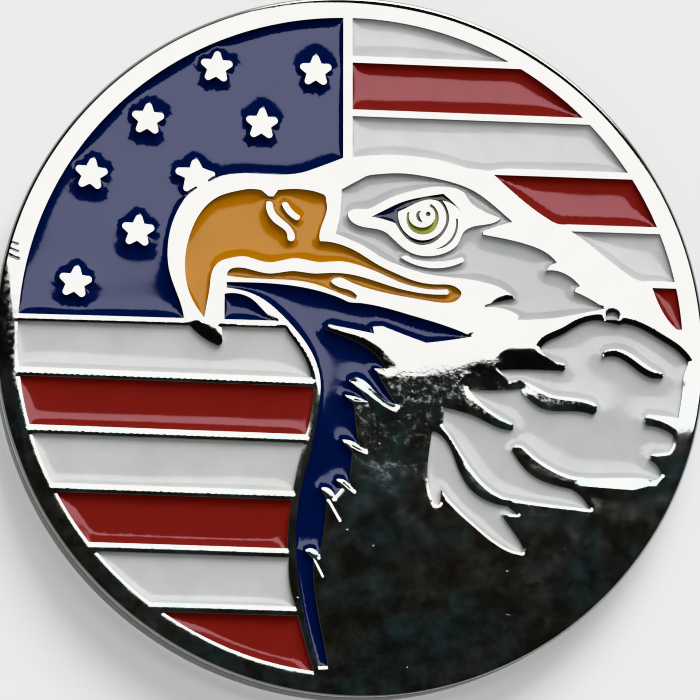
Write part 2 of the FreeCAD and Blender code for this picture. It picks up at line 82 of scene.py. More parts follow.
def top_outlines(node):
    """The closed outlines of a fill's flat top, with the enamel on the left of each."""
    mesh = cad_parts[node].data
    corners = np.array([vertex.co for vertex in mesh.vertices]) / MM
    places, ids = np.unique(np.round(corners, 4), axis=0, return_inverse=True)
    ids = ids.ravel()
    on_top = places[:, 2] > places[:, 2].max() - FLAT_TOP
    edges = set()
    for polygon in mesh.polygons:
        face = [int(ids[index]) for index in polygon.vertices]
        if on_top[face].all():
            edges.update(zip(face, face[1:] + face[:1]))
    following = {start: end for start, end in edges if (end, start) not in edges}
    outlines = []
    while following:
        start, point = next(iter(following.items()))
        loop = [start]
        del following[start]
        while point != start:
            loop.append(point)
            point = following.pop(point)
        outlines.append(places[loop][:, :2])
    return outlines


class Outline:
    """A closed outline on a smooth curve through its points, with its corners kept sharp."""

    def __init__(self, points):
        ahead = np.roll(points, -1, 0) - points
        length = np.hypot(ahead[:, 0], ahead[:, 1])
        after = unit(ahead)
        before = np.roll(after, 1, 0)
        before_length = np.roll(length, 1)
        tangent = unit(before * before_length[:, None] + after * length[:, None])
        corner = np.abs(turns_of(before, after)) > CORNER
        leaving = np.where(corner[:, None], after, tangent)
        reaching = np.roll(np.where(corner[:, None], before, tangent), -1, 0)
        made = []
        for index, start in enumerate(points):
            count = max(1, math.ceil(length[index] / OUTLINE_STEP))
            t = (np.arange(count) / count)[:, None]
            end = points[(index + 1) % len(points)]
            made.append(
                (2 * t**3 - 3 * t**2 + 1) * start
                + (t**3 - 2 * t**2 + t) * leaving[index] * length[index]
                + (3 * t**2 - 2 * t**3) * end
                + (t**3 - t**2) * reaching[index] * length[index]
            )
        self.points = np.concatenate(made)
        self.after = unit(np.roll(self.points, -1, 0) - self.points)
        self.before = np.roll(self.after, 1, 0)
        self.turn = turns_of(self.before, self.after)
        self.metal_side = right_of(unit(self.before + self.after))
        steps = np.roll(self.points, -1, 0) - self.points
        self.travelled = np.concatenate([[0], np.cumsum(np.hypot(steps[:, 0], steps[:, 1]))])

    def moved(self, offset):
        """The same number of points, moved to the right by an offset, with mitred corners."""
        mitre = np.maximum(np.cos(self.turn / 2), LEAST_MITRE)
        return self.points + self.metal_side * (offset / mitre)[:, None]

    def beside(self, offset, step):
        """Points at an offset from the outline: to the right of it, or to the left if negative."""
        number = np.floor(self.travelled[:-1] / step)
        chosen = np.concatenate([[True], np.diff(number) > 0])
        sharp = np.abs(self.turn) > CORNER
        chosen = np.flatnonzero(chosen | sharp)
        made = [self.points[chosen] + self.metal_side[chosen] * offset]
        for index in np.flatnonzero(sharp):
            mitre = max(math.cos(self.turn[index] / 2), LEAST_MITRE)
            made.append(self.points[[index]] + self.metal_side[[index]] * offset / mitre)
            start = right_of(self.before[[index]])[0]
            for share in (0, 0.25, 0.75, 1):
                angle = self.turn[index] * share
                turned = (
                    start[0] * math.cos(angle) - start[1] * math.sin(angle),
                    start[0] * math.sin(angle) + start[1] * math.cos(angle),
                )
                made.append(self.points[[index]] + np.array([turned]) * offset)
        return np.concatenate(made)


class Nearest:
    """Finds how far points are from a set of outlines, and the direction away from them."""

    def __init__(self, outlines):
        self.start = np.concatenate([outline.points for outline in outlines])
        self.end = np.concatenate([np.roll(outline.points, -1, 0) for outline in outlines])
        firsts = self.first_segments(outlines)
        self.previous = np.concatenate(
            [np.roll(np.arange(len(o.points)), 1) + first for o, first in zip(outlines, firsts)]
        )
        self.tree = kdtree.KDTree(len(self.start))
        for index, (x, y) in enumerate(self.start):
            self.tree.insert((x, y, 0), index)
        self.tree.balance()

    @staticmethod
    def first_segments(outlines):
        """The number of the first segment of each outline."""
        return np.cumsum([0] + [len(outline.points) for outline in outlines[:-1]])

    def find(self, points):
        """The distance of each point from the outlines, and the direction away from them."""
        nearest = np.array([self.tree.find((x, y, 0))[1] for x, y in points])
        best = np.full(len(points), np.inf)
        away = np.zeros_like(points)
        for segment in (nearest, self.previous[nearest]):
            start = self.start[segment]
            along = self.end[segment] - start
            share = ((points - start) * along).sum(1) / np.maximum((along**2).sum(1), 1e-12)
            gap = points - start - np.clip(share, 0, 1)[:, None] * along
            distance = np.hypot(gap[:, 0], gap[:, 1])
            closer = distance < best
            best[closer] = distance[closer]
            away[closer] = gap[closer]
        return best, unit(away)


def grid(radius, step):
    """Points of a triangular grid inside a circle."""
    rows = np.arange(-radius, radius, step * math.sqrt(3) / 2)
    made = []
    for number, y in enumerate(rows):
        x = np.arange(-radius, radius, step) + (number % 2) * step / 2
        made.append(np.column_stack([x, np.full(len(x), y)]))
    made = np.concatenate(made)
    return made[np.hypot(made[:, 0], made[:, 1]) < radius]


def area_of(loop):
    """The area inside a closed loop, negative if it runs clockwise."""
    following = np.roll(loop, -1, 0)
    return (loop[:, 0] * following[:, 1] - following[:, 0] * loop[:, 1]).sum() / 2


def thinned(points, gap=0.015):
    """The points without any that lies within a gap of an earlier one."""
    tree = kdtree.KDTree(len(points))
    for index, (x, y) in enumerate(points):
        tree.insert((x, y, 0), index)
    tree.balance()
    kept = np.ones(len(points), bool)
    for index, (x, y) in enumerate(points):
        if kept[index]:
            for _, other, _ in tree.find_range((x, y, 0), gap):
                kept[other] &= other <= index
    return points[kept]


def triangulate(loops, extra):
    """Triangles between closed loops of points, through the extra points. Returns the places,
    the triangles, and for each loop the numbers of its places."""
    points = np.concatenate([*loops, thinned(extra)])
    faces = []
    first = 0
    for loop in loops:
        face = list(range(first, first + len(loop)))
        faces.append(face if area_of(loop) > 0 else face[::-1])
        first += len(loop)
    found = geometry.delaunay_2d_cdt([Vector(point) for point in points], [], faces, 0, 1e-7, True)
    places, _, triangles, sources, _, inside = found
    kept = np.array([face for face, within in zip(triangles, inside) if len(within) % 2 == 1])
    where = {source: index for index, group in enumerate(sources) for source in group}
    rims = [np.array([where[index] for index in sorted(face)]) for face in faces]
    return np.array([place[:] for place in places]), kept, rims


# ------------------------------------------------------------------ meshes
METAL_SIDE = 1
ENAMEL_SIDE = -1
GRID_GAP = 0.05  # between the last ring beside a wall and the grid
RING_SLACK = 0.97  # every wall is at least this share of a ring's distance from its points


class Shape:
    """A mesh in the making: places in millimetres, triangles, and a normal at every corner."""

    def __init__(self):
        self.places = []
        self.triangles = []
        self.normals = []
        self.finishes = []
        self.count = 0

    def add_places(self, places):
        """Adds places and returns their numbers in the mesh."""
        numbers = np.arange(len(places)) + self.count
        self.places.append(places)
        self.count += len(places)
        return numbers

    def add_triangles(self, triangles, corner_normals, finish=0):
        """Adds triangles of places' numbers. finish is the number of their material."""
        self.triangles.append(triangles)
        self.normals.append(corner_normals)
        self.finishes.append(np.full(len(triangles), finish))

    def add_band(self, upper, lower, upper_normals, lower_normals, finish=0):
        """Triangles between two closed rings. The outside is on the right of their direction."""
        after = np.roll(np.arange(len(upper)), -1)
        quads = [
            (upper, lower, lower[after], upper_normals, lower_normals, lower_normals[after]),
            (upper, lower[after], upper[after], upper_normals, lower_normals[after], upper_normals[after]),
        ]
        for a, b, c, normal_a, normal_b, normal_c in quads:
            self.add_triangles(
                np.column_stack([a, b, c]), np.stack([normal_a, normal_b, normal_c], 1), finish
            )

    def make(self, name, materials):
        """The finished object, in metres."""
        places = np.concatenate(self.places) * MM
        triangles = np.concatenate(self.triangles)
        mesh = bpy.data.meshes.new(name)
        mesh.from_pydata(places.tolist(), [], triangles.tolist())
        for material in materials:
            mesh.materials.append(material)
        mesh.polygons.foreach_set("material_index", np.concatenate(self.finishes).astype(np.int32))
        mesh.polygons.foreach_set("use_smooth", np.ones(len(triangles), bool))
        normals = np.concatenate(self.normals).reshape(-1, 3)
        normals /= np.linalg.norm(normals, axis=1)[:, None]
        mesh.normals_split_custom_set(normals.tolist())
        made = bpy.data.objects.new(name, mesh)
        bpy.context.scene.collection.objects.link(made)
        return made


def spatial(points, heights):
    """Flat points at their heights."""
    heights = np.broadcast_to(heights, len(points))
    return np.column_stack([points, heights])


def level(vectors):
    """Flat vectors as level ones in space."""
    return np.column_stack([vectors, np.zeros(len(vectors))])


def upward(gradient):
    """Surface normals from the gradient of the height."""
    return np.column_stack([-gradient, np.ones(len(gradient))])


def ringed(points, gaps, outlines, rings, side):
    """Sets of points with rings beside the walls added, on the metal's or the enamel's side. Each
    set has the gap that it keeps from every wall."""
    for offset, step in rings:
        for outline in outlines:
            points.append(outline.beside(side * offset, step))
            gaps.append(offset * RING_SLACK)
    gaps = np.concatenate([np.full(len(some), gap) for some, gap in zip(points, gaps)])
    return np.concatenate(points), gaps


def add_floor(shape, floor, outlines, feet, up):
    """The flat floor of a recess, or a fill's flat underside if up is false."""
    places, triangles, rims = floor
    lookup = np.zeros(len(places), int)
    for outline, rim in zip(outlines, rims):
        lookup[rim] = feet[id(outline)]
    facing = (0.0, 0.0, 1.0 if up else -1.0)
    normals = np.broadcast_to(facing, (len(triangles), 3, 3))
    shape.add_triangles(lookup[triangles if up else triangles[:, ::-1]], normals)


# ------------------------------------------------------------------ the metal's relief
# Rings of points beside every wall: the distance from the wall, and the step along it.
METAL_RINGS = ((0.045, 0.07), (0.075, 0.07), (0.105, 0.08), (0.14, 0.10), (0.19, 0.12))
METAL_GRID = 0.14
BEVEL = 0.012  # width and depth of the small bevel along every wall
BEVEL_TILT = math.radians(60)
RIM_RINGS = (0.04, 0.08, 0.13, 0.19, 0.27, 0.36)  # from the outer edge of the flat
RIM_STEP = 0.09  # along each of those rings
WORN_SLOPE = 0.065  # steepness of the broad rounding of the well-worn edges
WORN_WIDTH = 0.16
WORN_FROM = 0.9  # the Y, in the middle, above which the edges are crisp
WORN_ONSET = 1.4  # how far below it they are fully worn
LEFT_TILT, RIGHT_TILT = 0.05, 0.13  # how steeply that limit runs down to the right
FEATHER_RAISE = 2.2  # how much higher that limit is on the feathers
WORN_SHIFT = 0.040  # how much further in the wear reaches on the upper side of each line
WORN_TURN = 0.115  # the change in that from the flag to the feathers
NECK_FALL = 0.010  # steepness of the neck and the feathers below the cheek
NECK_TOP = -1.3
NECK_DEPTH = 3.0  # along Y, of the part that falls
NECK_RETURN = 7.0  # along Y, of the part that comes back to the level of the rim


def wear_of(points):
    """How worn the edges are: hardly above the beak, fully on the feathers, the neck and the
    lower stripes."""
    x, y = points.T
    tilt = np.where(x > 0, RIGHT_TILT, LEFT_TILT)
    on_feathers = smooth_step(x, 3.5, 5.5)
    return smooth_step(WORN_FROM - y - tilt * x + FEATHER_RAISE * on_feathers, 0, WORN_ONSET)


def worn_further(points):
    """The step to take from each point before its distance from the walls is found. It puts the
    crest of a line nearer its lower side on the flag, and nearer its upper side on the feathers."""
    x = points[:, 0]
    return np.column_stack([np.zeros(len(x)), WORN_SHIFT - WORN_TURN * smooth_step(x, 0.5, 3.5)])


def worn_drop(points, distance):
    """How far the worn metal has dropped at a distance from the walls."""
    inner = np.clip(1 - distance / WORN_WIDTH, 0, 1)
    return wear_of(points) * WORN_SLOPE * WORN_WIDTH * inner**1.5 / 1.5


def worn_slope(points, distance):
    """The steepness of the worn metal at a distance from the walls."""
    inner = np.clip(1 - distance / WORN_WIDTH, 0, 1)
    return wear_of(points) * WORN_SLOPE * inner**0.5


def waviness(points, amount, wavelength, seed):
    """A gentle random swell, as heights. amount is its steepness."""
    rng = np.random.default_rng(seed)
    total = np.zeros(len(points))
    count = 14
    for angle, phase, stretch in rng.uniform(0, 1, (count, 3)):
        wave = wavelength * (0.6 + 0.9 * stretch)
        turned = points @ np.array([math.cos(math.tau * angle), math.sin(math.tau * angle)])
        total += wave * np.sin(turned * math.tau / wave + phase * math.tau)
    return total * amount / (math.tau * math.sqrt(count / 2))


def smooth_step(value, start, end):
    """0 up to the start, 1 from the end, and a smooth rise between them."""
    share = np.clip((value - start) / (end - start), 0, 1)
    return share * share * (3 - 2 * share)


def from_line(points, route):
    """The distance from a route of straight runs."""
    route = np.array(route, float)
    best = np.full(len(points), np.inf)
    for start, end in zip(route, route[1:]):
        along = end - start
        share = np.clip(((points - start) @ along) / (along @ along), 0, 1)
        gap = points - start - share[:, None] * along
        best = np.minimum(best, np.hypot(gap[:, 0], gap[:, 1]))
    return best


# Small marks in the metal, from hand cutting of the die and from wear. Each has a route, a half
# width and a height, which is negative for a nick.
MARKS = (
    (((-0.10, -3.85), (0.35, -4.05)), 0.07, 0.007),
    (((-0.40, -5.15), (-0.05, -5.45)), 0.06, 0.007),
    (((-0.95, -5.75), (-0.75, -6.10), (-0.55, -6.45)), 0.06, 0.007),
    (((-1.45, -7.80), (-1.30, -8.10), (-1.15, -8.40)), 0.07, 0.008),
    (((-0.10, -1.72), (0.45, -1.98), (0.95, -2.32), (1.30, -2.55)), 0.21, 0.016),
    (((0.00, -2.20), (0.35, -2.22)), 0.06, 0.008),
    (((-1.00, 0.25), (0.00, -0.10), (0.75, -0.50), (1.20, -1.00)), 0.20, -0.006),
    (((3.05, -3.60), (3.12, -2.60), (3.45, -1.75), (3.95, -1.15), (4.70, -1.30)), 0.09, 0.0022),
    (((5.22, -9.62), (5.42, -9.66)), 0.10, 0.0042),
    (((7.35, -7.30), (7.80, -8.10), (7.70, -9.00)), 0.09, 0.002),
    (((8.10, -5.02), (9.80, -5.14), (10.40, -4.98)), 0.20, 0.014),
    (((10.90, -3.20), (12.00, -3.20)), 0.70, 0.006),
    (((5.50, -0.80), (6.90, -0.80)), 0.32, -0.022),
    (((4.30, -1.50), (5.90, -1.50)), 0.36, -0.024),
    (((-5.55, 0.12), (-5.15, -0.12), (-4.70, -0.36)), 0.20, -0.012),
    (((-12.06, 2.62), (-11.72, 2.50)), 0.035, -0.005),
    (((-12.02, 2.86), (-11.74, 2.76)), 0.030, -0.004),
    (((-11.98, 3.08), (-11.76, 3.02)), 0.030, -0.004),
)
# The rim's flat falls away towards its outer edge: a steepness, and how wide the fall is.
RIM_FALL = 0.012
RIM_FALL_WIDTH = 0.09
WORN_RIM_FALL = 0.105  # on the left, where the rim is most worn
WORN_RIM_WIDTH = 0.40
UPPER_RIGHT_FALL = 0.045  # more steepness at the upper right
FALL_ONSET = 0.05  # how gently the fall starts


def rim_fall(points):
    """How far the rim's flat has fallen away towards its outer edge."""
    x, y = points.T
    left = smooth_step(-x, 11.0, 11.8) * smooth_step(3.5 - y, 0, 2.8)
    upper_right = smooth_step(x, -2.0, 2.0) * smooth_step(y, 0.0, 3.0)
    steepness = RIM_FALL + WORN_RIM_FALL * left + UPPER_RIGHT_FALL * upper_right
    width = RIM_FALL_WIDTH + (WORN_RIM_WIDTH - RIM_FALL_WIDTH) * left
    outward = np.maximum(np.hypot(x, y) - FLAT_RADIUS + width, 0)
    return steepness * outward**2 / (outward + FALL_ONSET)


def cheek_end(x):
    """Where the cheek's lower side passes into the neck, as a Y for each X."""
    return -0.62 - 0.68 * np.exp(-(((x - 2.3) / 1.35) ** 2))


def cheek_ridge(points):
    """A low, soft ridge along the lower side of the cheek."""
    x, y = points.T
    across = y - cheek_end(x)
    here = smooth_step(x, -0.6, 0.6) * smooth_step(-x, -6.2, -4.4)
    crest = 0.0012 * np.exp(-((across / 0.32) ** 2))
    flanks = 0.008 * np.exp(-((across / 1.3) ** 2))
    return here * (crest + flanks)


def neck_fall(points):
    """How far the metal of the neck and the feathers has sunk. It is level again at the rim."""
    x, y = points.T
    top = NECK_TOP + 0.5 * smooth_step(x, 3.4, 5.2)
    fallen = np.clip(top - y, 0, NECK_DEPTH)
    returned = np.clip((NECK_TOP - NECK_DEPTH - y) / NECK_RETURN, 0, 1)
    inside = smooth_step(-np.hypot(x, y), -11.5, -8.5) * smooth_step(x, -0.5, 1.5)
    return NECK_FALL * fallen * (1 - returned) * inside


def metal_relief(points):
    """The height of the metal above the disc's face, apart from the worn edges."""
    relief = waviness(points, 0.003, 2.4, 3) + waviness(points, 0.001, 0.9, 4)
    on_rim = smooth_step(np.hypot(*points.T), 11.2, 11.8)
    relief *= 1 - 0.4 * on_rim
    for route, half_width, height in MARKS:
        relief += height * np.exp(-((from_line(points, route) / half_width) ** 2))
    return relief + cheek_ridge(points) - neck_fall(points) - rim_fall(points)


def near_marks():
    """A finer grid of points over the marks, so that the mesh holds their shape."""
    made = []
    for route, half_width, _ in MARKS:
        fine = half_width * 0.55
        low_corner = np.min(route, 0) - 2 * half_width
        high_corner = np.max(route, 0) + 2 * half_width
        x, y = np.meshgrid(*(np.arange(a, b, fine) for a, b in zip(low_corner, high_corner)))
        points = np.column_stack([x.ravel(), y.ravel()])
        made.append(points[from_line(points, route) < 2 * half_width])
    return np.concatenate(made)


def near_rim():
    """Rings of points beside the outer edge, so that the mesh holds the rim's fall."""
    made = []
    for gap in RIM_RINGS:
        radius = FLAT_RADIUS - gap
        angles = np.linspace(0, math.tau, round(math.tau * radius / RIM_STEP), endpoint=False)
        made.append(np.column_stack([np.cos(angles), np.sin(angles)]) * radius)
    return np.concatenate(made)


def gradient_of(relief, points):
    """The slope of a relief along X and along Y."""
    reach = 0.004
    middle = relief(points)
    return np.column_stack(
        [
            (relief(points + (reach, 0)) - middle) / reach,
            (relief(points + (0, reach)) - middle) / reach,
        ]
    )


BACK_FINISH = 1
PAINTED_DARK_EDGE_FINISH = 2
EDGE_FROM, EDGE_TO = 1.0, 2.2  # the angles between which the edge has the duller finish, whose dark colour is painted shade standing in for the dark surroundings that the side reflects


def face_points(nearest, outlines):
    """Where the flat metal has points: by the marks, the rim and the walls, and on a grid."""
    grid_radius = FLAT_RADIUS - RIM_RINGS[-1] - GRID_GAP
    near = RIM_RINGS[0]
    points = [near_marks(), near_rim(), grid(grid_radius, METAL_GRID)]
    gaps = [near, near, METAL_RINGS[-1][0] + GRID_GAP]
    points, gaps = ringed(points, gaps, outlines, METAL_RINGS, METAL_SIDE)
    distance, _ = nearest.find(points)
    points = points[distance >= gaps]
    points = points - worn_further(points) * wear_of(points)[:, None]
    distance, _ = nearest.find(points)
    inside = np.hypot(*points.T) < FLAT_RADIUS - 0.03
    return points[(distance >= METAL_RINGS[0][0] * 0.7) & inside]


def worn_heights(nearest, places, rims, outlines):
    """The heights of the face's places and their gradient, with the edges worn."""
    reach, away = nearest.find(places)
    for rim, outline in zip(rims, outlines):
        away[rim] = outline.metal_side
    step = worn_further(places)
    passed = -(step * away).sum(1) > reach
    distance, shifted_away = nearest.find(places + step)
    distance = np.where(passed, 0, distance)
    away = np.where(passed[:, None], away, shifted_away)
    gradient = worn_slope(places, distance)[:, None] * away + gradient_of(metal_relief, places)
    return TOP - worn_drop(places, distance) + metal_relief(places), gradient


def add_recesses(shape, outlines, rims, rim_numbers, heights, normals, floors):
    """Bevels, walls and floors of the recesses."""
    feet = {}
    for rim, numbers, outline in zip(rims, rim_numbers, outlines):
        foot = shape.add_places(spatial(outline.points, FLOOR))
        edge = shape.add_places(spatial(outline.points, heights[rim] - BEVEL))
        feet[id(outline)] = foot
        facing = level(-outline.metal_side)
        tilted = spatial(-outline.metal_side * math.sin(BEVEL_TILT), math.cos(BEVEL_TILT))
        shape.add_band(foot, edge, facing, facing)
        shape.add_band(edge, numbers, tilted, normals[rim])
    for group, floor in floors:
        add_floor(shape, floor, group, feet, up=True)


def edge_profile(drop, angle):
    """The radius, height and angle of each ring round the disc's edge, from the face to the back.
    The face has already dropped and turned a little where the edge starts."""
    quarter = math.pi / 2
    profile = []
    for share in np.linspace(0, 1, 9)[1:]:
        radius = FLAT_RADIUS + EDGE_ROUNDING * math.sin(share * quarter)
        fallen = drop * (1 - share) + EDGE_ROUNDING * (1 - math.cos(share * quarter))
        profile.append((radius, TOP - fallen, angle + (quarter - angle) * share))
    for height in np.linspace(TOP - EDGE_ROUNDING, EDGE_ROUNDING, 6)[1:]:
        profile.append((DISC_RADIUS, height, quarter))
    for share in np.linspace(0, 1, 7)[1:]:
        turned = quarter * (1 + share)
        radius = FLAT_RADIUS + EDGE_ROUNDING * math.sin(turned)
        profile.append((radius, EDGE_ROUNDING * (1 + math.cos(turned)), turned))
    return profile


def add_edge(shape, outward, ring, ring_normals, drop, angle):
    """The rounded edges and the outer wall. Returns the places of the last ring."""
    for radius, height, turned in edge_profile(drop, angle):
        turned = np.broadcast_to(turned, len(outward))
        next_ring = shape.add_places(spatial(outward * radius, height))
        next_normals = np.column_stack([outward * np.sin(turned)[:, None], np.cos(turned)])
        finish = PAINTED_DARK_EDGE_FINISH if EDGE_FROM < turned.mean() < EDGE_TO else 0
        shape.add_band(ring, next_ring, ring_normals, next_normals, finish)
        ring, ring_normals = next_ring, next_normals
    return ring


def add_back(shape, circle, ring):
    """The flat back, inside its last ring."""
    places, triangles, rims = triangulate([circle], grid(FLAT_RADIUS - 0.3, 0.6))
    lookup = np.zeros(len(places), int)
    is_rim = np.zeros(len(places), bool)
    is_rim[rims[0]] = True
    lookup[rims[0]] = ring
    lookup[~is_rim] = shape.add_places(spatial(places[~is_rim], 0))
    down = np.broadcast_to((0.0, 0.0, -1.0), (len(triangles), 3, 3))
    shape.add_triangles(lookup[triangles[:, ::-1]], down, BACK_FINISH)


def build_disc(outlines, floors, materials):
    """The struck disc as one closed mesh."""
    shape = Shape()
    nearest = Nearest(outlines)
    count = round(math.tau * FLAT_RADIUS / OUTLINE_STEP)
    angles = np.arange(count) / count * math.tau
    outward = np.column_stack([np.cos(angles), np.sin(angles)])
    circle = outward * FLAT_RADIUS

    loops = [circle, *[outline.moved(BEVEL) for outline in outlines]]
    places, triangles, (outer, *rims) = triangulate(loops, face_points(nearest, outlines))
    heights, gradient = worn_heights(nearest, places, rims, outlines)
    numbers = shape.add_places(spatial(places, heights))
    normals = upward(gradient)
    shape.add_triangles(numbers[triangles], normals[triangles])
    add_recesses(shape, outlines, rims, [numbers[rim] for rim in rims], heights, normals, floors)
    drop = TOP - heights[outer]
    angle = np.arctan(np.hypot(*gradient[outer].T))
    ring = add_edge(shape, outward, numbers[outer], normals[outer], drop, angle)
    add_back(shape, circle, ring)
    return shape.make("disc_metal", materials)


# ------------------------------------------------------------------ the enamel
ENAMEL_RINGS = (
    (0.03, 0.07),
    (0.07, 0.08),
    (0.12, 0.09),
    (0.17, 0.09),
    (0.21, 0.09),
    (0.25, 0.09),
    (0.29, 0.09),
    (0.33, 0.10),
)
ENAMEL_GRID = 0.11
ROUNDING = 0.16  # how softly the surface passes from one wall's rise into another's


class Pour:
    """How one colour of enamel lies in its recesses."""

    def __init__(self, sunk, steepness, reach, crispness=1.0, lean=0.0):
        self.sunk = sunk  # below the disc's face, away from the walls
        self.steepness = steepness  # of the surface where it meets the walls
        self.reach = reach  # how far from a wall the surface still rises
        self.crispness = crispness  # 1 dies away gently, more than 1 has a clear foot
        self.lean = lean  # how steeply the whole surface rises towards the top of the design

    def rise(self, distance):
        """How far the surface stands above its level at a distance from the walls."""
        steps = np.linspace(0, 8 * self.reach, 400)
        slope = self.steepness * np.exp(-((steps / self.reach) ** self.crispness))
        rise = np.cumsum(slope[::-1])[::-1] * steps[1]
        return np.interp(distance, steps, rise)


class Surface:
    """A flat mesh of triangles on which heights are solved and their slopes are measured."""

    def __init__(self, places, triangles):
        self.count = len(places)
        self.triangles = triangles
        corners = places[triangles]
        sides = np.roll(corners, 1, 1) - np.roll(corners, -1, 1)
        self.doubled = sides[:, 0, 0] * sides[:, 1, 1] - sides[:, 0, 1] * sides[:, 1, 0]
        self.doubled = np.where(np.abs(self.doubled) < 1e-9, 1e-9, self.doubled)
        self.shape_slopes = np.stack([-sides[:, :, 1], sides[:, :, 0]], 2) / self.doubled[:, None, None]
        self.area = np.abs(self.doubled) / 2
        self.share = self.gather(np.repeat(self.area[:, None], 3, 1)) / 3

    def gather(self, corner_values):
        """The sum, at each point, of what the corners of its triangles carry."""
        return np.bincount(self.triangles.ravel(), corner_values.ravel(), self.count)

    def slopes(self, heights):
        """The gradient of the heights in each triangle."""
        return (heights[self.triangles][:, :, None] * self.shape_slopes).sum(1)

    def pull(self, heights, reach):
        """How strongly each point is drawn back, by the slopes round it and by its own height."""
        slopes = self.slopes(heights)
        corner_pulls = (slopes[:, None, :] * self.shape_slopes).sum(2) * self.area[:, None]
        return self.gather(corner_pulls) * reach**2 + heights * self.share

    def distance(self, on_wall, reach):
        """The distance from the walls, rounded where two walls are equally near. It comes from
        the way that a liquid's rise dies away from its walls."""
        heights = on_wall.astype(float)
        residual = np.where(on_wall, 0, -self.pull(heights, reach))
        step = residual.copy()
        strength = (residual**2).sum()
        for _ in range(150):
            pulled = np.where(on_wall, 0, self.pull(step, reach))
            amount = strength / (step * pulled).sum()
            heights += amount * step
            residual -= amount * pulled
            before, strength = strength, (residual**2).sum()
            if strength < 1e-14:
                break
            step = residual + strength / before * step
        return -reach * np.log(np.clip(heights, 1e-9, 1))

    def gradient(self, heights):
        """The gradient of the heights at each point."""
        slopes = self.slopes(heights) * self.area[:, None]
        spread = [self.gather(np.repeat(slopes[:, [axis]], 3, 1)) for axis in (0, 1)]
        return np.column_stack(spread) / 3 / np.maximum(self.share, 1e-12)[:, None]


def fill_points(nearest, outlines, low_corner, high_corner):
    """Where a fill's surface has points: on rings beside its walls, and on a grid."""
    points = [grid(FLAT_RADIUS, ENAMEL_GRID)]
    gaps = [ENAMEL_RINGS[-1][0] + GRID_GAP]
    points, gaps = ringed(points, gaps, outlines, ENAMEL_RINGS, ENAMEL_SIDE)
    near = (points > low_corner).all(1) & (points < high_corner).all(1)
    points, gaps = points[near], gaps[near]
    distance, _ = nearest.find(points)
    return points[distance >= gaps]


def build_fill(name, outlines, floor, pour, material):
    """One enamel fill as a closed mesh, with its surface climbing the walls."""
    shape = Shape()
    outer = max(outlines, key=lambda outline: np.ptp(outline.points[:, 0]))
    low_corner = outer.points.min(0)
    high_corner = outer.points.max(0)
    extra = fill_points(Nearest(outlines), outlines, low_corner, high_corner)
    places, triangles, rims = triangulate([outline.points for outline in outlines], extra)
    on_wall = np.zeros(len(places), bool)
    on_wall[np.concatenate(rims)] = True
    surface = Surface(places, triangles)
    heights = TOP - pour.sunk + pour.rise(surface.distance(on_wall, ROUNDING))
    heights += pour.lean * (places[:, 1] - (low_corner[1] + high_corner[1]) / 2)
    heights += waviness(places, 0.004, 3.0, 5)
    normals = upward(surface.gradient(heights))

    used = np.unique(triangles)
    renumber = np.full(len(places), -1)
    renumber[used] = shape.add_places(spatial(places[used], heights[used]))
    shape.add_triangles(renumber[triangles], normals[triangles])
    feet = {}
    for rim, outline in zip(rims, outlines):
        foot = shape.add_places(spatial(outline.points, FLOOR))
        feet[id(outline)] = foot
        facing = level(outline.metal_side)
        shape.add_band(renumber[rim], foot, facing, facing)
    add_floor(shape, floor, outlines, feet, up=False)
    return shape.make(name, [material])


# ------------------------------------------------------------------ materials
CLEAN_NICKEL = ((0.36, 0.354, 0.342), (0.41, 0.405, 0.393))
STAINED_NICKEL = ((0.48, 0.45, 0.42), (0.54, 0.54, 0.52), (0.47, 0.55, 0.55))


def new_material(name):
    """A new material, its node tree and its shader."""
    material = bpy.data.materials.new(name)
    material.use_nodes = True
    return material, material.node_tree, material.node_tree.nodes["Principled BSDF"]


def millimetres(tree, stretch=(1, 1, 1)):
    """Object coordinates in millimetres, which can be stretched along each axis."""
    coordinates = tree.nodes.new("ShaderNodeTexCoord")
    mapping = tree.nodes.new("ShaderNodeMapping")
    mapping.inputs["Scale"].default_value = [1000 * part for part in stretch]
    tree.links.new(coordinates.outputs["Object"], mapping.inputs["Vector"])
    return mapping.outputs["Vector"]


def noise(tree, vector, scale, detail=4.0, roughness=0.55):
    """Soft random blotches, between 0 and 1."""
    texture = tree.nodes.new("ShaderNodeTexNoise")
    texture.inputs["Scale"].default_value = scale
    texture.inputs["Detail"].default_value = detail
    texture.inputs["Roughness"].default_value = roughness
    tree.links.new(vector, texture.inputs["Vector"])
    return texture.outputs["Fac"]


def remap(tree, value, from_low, from_high, to_low=0, to_high=1):
    """A value brought from one span to another, and held inside it."""
    node = tree.nodes.new("ShaderNodeMapRange")
    limits = {"From Min": from_low, "From Max": from_high, "To Min": to_low, "To Max": to_high}
    for name, number in limits.items():
        node.inputs[name].default_value = number
    tree.links.new(value, node.inputs["Value"])
    return node.outputs["Result"]


def colour_ramp(tree, value, stops):
    """Colours blended along a value. Each stop has its place on the value and its colour."""
    stops = list(stops)
    ramp = tree.nodes.new("ShaderNodeValToRGB")
    elements = ramp.color_ramp.elements
    while len(elements) < len(stops):
        elements.new(0.5)
    for element, (position, colour) in zip(elements, stops):
        element.position = position
        element.color = (*colour, 1)
    tree.links.new(value, ramp.inputs["Fac"])
    return ramp.outputs["Color"]


def mix(tree, share, first, second, kind="RGBA"):
    """A blend of two colours, or of two numbers if kind is FLOAT."""
    node = tree.nodes.new("ShaderNodeMix")
    node.data_type = kind
    sockets = {"RGBA": (6, 7, 2), "FLOAT": (2, 3, 0)}[kind]
    tree.links.new(share, node.inputs[0])
    tree.links.new(first, node.inputs[sockets[0]])
    tree.links.new(second, node.inputs[sockets[1]])
    return node.outputs[sockets[2]]


def multiply(tree, first, second):
    """The product of two values."""
    node = tree.nodes.new("ShaderNodeMath")
    node.operation = "MULTIPLY"
    tree.links.new(first, node.inputs[0])
    tree.links.new(second, node.inputs[1])
    return node.outputs["Value"]


